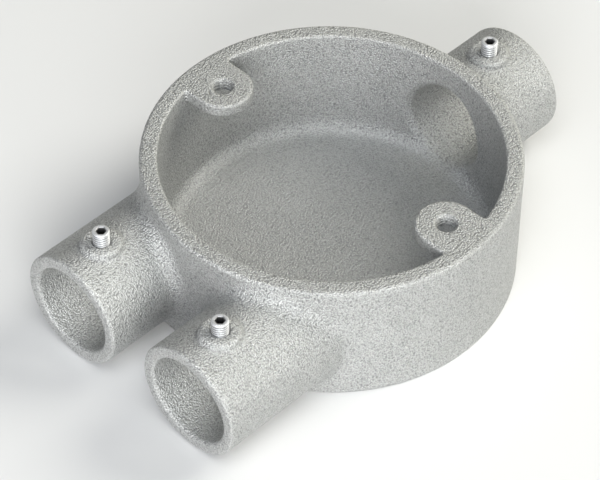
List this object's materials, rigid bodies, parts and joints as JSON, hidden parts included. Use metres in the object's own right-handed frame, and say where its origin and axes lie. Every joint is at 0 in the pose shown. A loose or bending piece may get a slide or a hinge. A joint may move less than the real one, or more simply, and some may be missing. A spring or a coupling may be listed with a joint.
{
  "type": "conduit box",
  "caption": "Round open cast conduit box with two parallel slip-in spouts on one side, one spout opposite, a grub screw on each spout and two lid lugs.",
  "frame": {"origin": "centre of the round base, on the surface that the box stands on", "axes": "+Z from the base to the open rim, +Y along the spouts towards the single one, +X across the box"},
  "size_m": [0.0664, 0.0968, 0.0247],
  "materials": {
    "casting": "sand-cast, hot-dip galvanised, matt with a fine grain",
    "screws": "bright zinc plate"
  },
  "bodies": {
    "box": {"cast_box": "casting"},
    "screw_twin_left": {"grub_screw_twin_left": "screws"},
    "screw_twin_right": {"grub_screw_twin_right": "screws"},
    "screw_single": {"grub_screw_single": "screws"}
  },
  "joints": [
    {"name": "screw_twin_left_travel", "type": "slide", "parent": "box", "child": "screw_twin_left", "axis": [0, 0, 1], "range_m": [-0.0024, 0.0025]},
    {"name": "screw_twin_right_travel", "type": "slide", "parent": "box", "child": "screw_twin_right", "axis": [0, 0, 1], "range_m": [-0.0024, 0.0025]},
    {"name": "screw_single_travel", "type": "slide", "parent": "box", "child": "screw_single", "axis": [0, 0, 1], "range_m": [-0.0024, 0.0025]}
  ]
}
